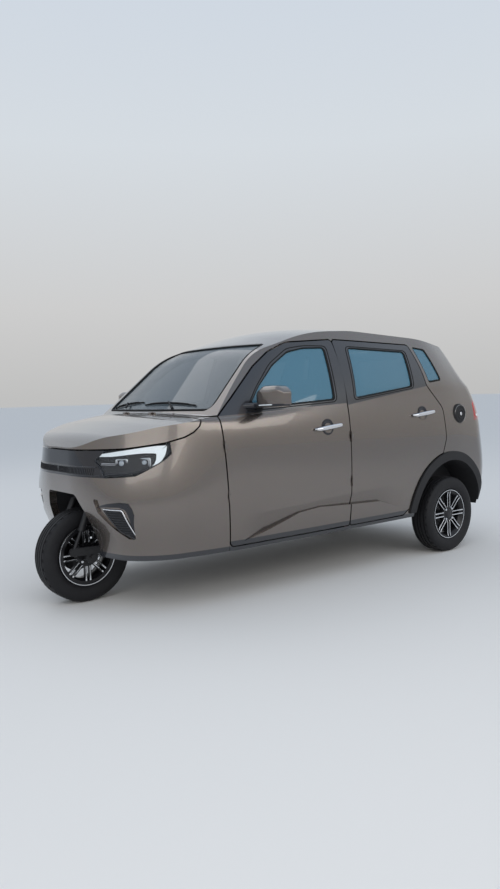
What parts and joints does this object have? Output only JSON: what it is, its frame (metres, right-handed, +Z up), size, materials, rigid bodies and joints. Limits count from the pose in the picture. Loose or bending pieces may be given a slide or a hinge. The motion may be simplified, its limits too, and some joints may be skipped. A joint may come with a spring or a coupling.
{
  "type": "three wheeled car",
  "caption": "Small enclosed passenger car on one steered front wheel and two driven rear wheels, with side doors, a hood and a tailgate.",
  "frame": {"origin": "centre of the footprint of the bounding box, on the ground under the wheels", "axes": "+X forward, along the length; +Y to the car's left; +Z up, the height"},
  "size_m": [3.28, 1.784, 1.5601],
  "materials": {
    "paint": "glossy metallic grey brown",
    "gloss_black": "glossy black",
    "trim_black": "grained matte black",
    "window_glass": "tinted, glossy",
    "windshield_glass": "clear, glossy",
    "lamp_glass": "clear, glossy",
    "lamp_red": "glossy red",
    "bright": "polished",
    "alloy": "machined and black",
    "rubber": "matte",
    "tyre_rubber": "matte",
    "frame_steel": "satin black",
    "steel": "satin",
    "cast_metal": "rough",
    "seat_cloth": "woven dark grey",
    "dash_plastic": "soft matte",
    "carpet": "short pile"
  },
  "bodies": {
    "body": {"cabin_shell": "paint", "rear_bumper": "paint", "front_clip": "paint", "quarter_glass": "window_glass", "windshield": "windshield_glass", "headlamps": "lamp_glass", "tail_lamps": "lamp_red", "grille": "gloss_black", "bumper_vents": "gloss_black", "arch_liners": "trim_black", "front_wheel_housing": "trim_black", "fuel_cap": "trim_black", "wipers": "rubber", "front_frame": "frame_steel", "chassis_frame": "frame_steel", "rear_axle": "cast_metal", "rear_springs": "frame_steel", "drive_shaft": "steel", "engine": "cast_metal", "exhaust": "steel", "floor_pan": "carpet", "dashboard": "dash_plastic", "steering_column": "dash_plastic", "front_seats": "seat_cloth", "rear_bench": "seat_cloth"},
    "fork": {"fork": "frame_steel", "fork_links": "frame_steel", "front_shocks": "steel"},
    "front_wheel": {"rim_front": "alloy", "tyre_front": "tyre_rubber"},
    "rear_wheel_left": {"rim_rear_left": "alloy", "tyre_rear_left": "tyre_rubber"},
    "rear_wheel_right": {"rim_rear_right": "alloy", "tyre_rear_right": "tyre_rubber"},
    "front_left_door": {"door_front_left": "paint", "glass_front_left": "window_glass", "handle_front_left": "bright", "mirror_left": "paint"},
    "front_right_door": {"door_front_right": "paint", "glass_front_right": "window_glass", "handle_front_right": "bright", "mirror_right": "paint"},
    "rear_left_door": {"door_rear_left": "paint", "glass_rear_left": "window_glass", "handle_rear_left": "bright"},
    "rear_right_door": {"door_rear_right": "paint", "glass_rear_right": "window_glass", "handle_rear_right": "bright"},
    "hood_lid": {"hood": "paint"},
    "tailgate_lid": {"tailgate": "paint", "tailgate_glass": "window_glass"},
    "steering_wheel_turning": {"steering_wheel": "dash_plastic"}
  },
  "joints": [
    {"name": "steering", "type": "hinge", "parent": "body", "child": "fork", "pos_m": [1.409, 0, 0], "axis": [-0.2588, 0, 0.9659], "range_deg": [-35, 35]},
    {"name": "front_wheel_spin", "type": "hinge", "parent": "fork", "child": "front_wheel", "pos_m": [1.379, 0, 0.261], "axis": [0, 1, 0], "continuous": true},
    {"name": "rear_left_wheel_spin", "type": "hinge", "parent": "body", "child": "rear_wheel_left", "pos_m": [-1.058, 0.632, 0.261], "axis": [0, 1, 0], "continuous": true},
    {"name": "rear_right_wheel_spin", "type": "hinge", "parent": "body", "child": "rear_wheel_right", "pos_m": [-1.058, -0.632, 0.261], "axis": [0, 1, 0], "continuous": true},
    {"name": "front_left_door_swing", "type": "hinge", "parent": "body", "child": "front_left_door", "pos_m": [0.85815, 0.701, 0.59], "axis": [0.0629, 0, 0.998], "range_deg": [-65, 0]},
    {"name": "front_right_door_swing", "type": "hinge", "parent": "body", "child": "front_right_door", "pos_m": [0.85815, -0.701, 0.59], "axis": [0.0629, 0, 0.998], "range_deg": [0, 65]},
    {"name": "rear_left_door_swing", "type": "hinge", "parent": "body", "child": "rear_left_door", "pos_m": [-0.0615, 0.723, 0.59], "axis": [0, 0, 1], "range_deg": [-65, 0]},
    {"name": "rear_right_door_swing", "type": "hinge", "parent": "body", "child": "rear_right_door", "pos_m": [-0.0615, -0.723, 0.59], "axis": [0, 0, 1], "range_deg": [0, 65]},
    {"name": "hood_lift", "type": "hinge", "parent": "body", "child": "hood_lid", "pos_m": [0.989, 0, 1.041], "axis": [0, -1, 0], "range_deg": [0, 55]},
    {"name": "tailgate_lift", "type": "hinge", "parent": "body", "child": "tailgate_lid", "pos_m": [-1.296, 0, 1.44], "axis": [0, 1, 0], "range_deg": [0, 70]},
    {"name": "steering_wheel_turn", "type": "hinge", "parent": "body", "child": "steering_wheel_turning", "pos_m": [0.5, 0.3, 0.9], "axis": [-0.9063, 0, 0.4226], "range_deg": [-420, 420]}
  ],
  "couplings": [
    {"joint": "steering_wheel_turn", "follows": "steering", "ratio": 12}
  ]
}
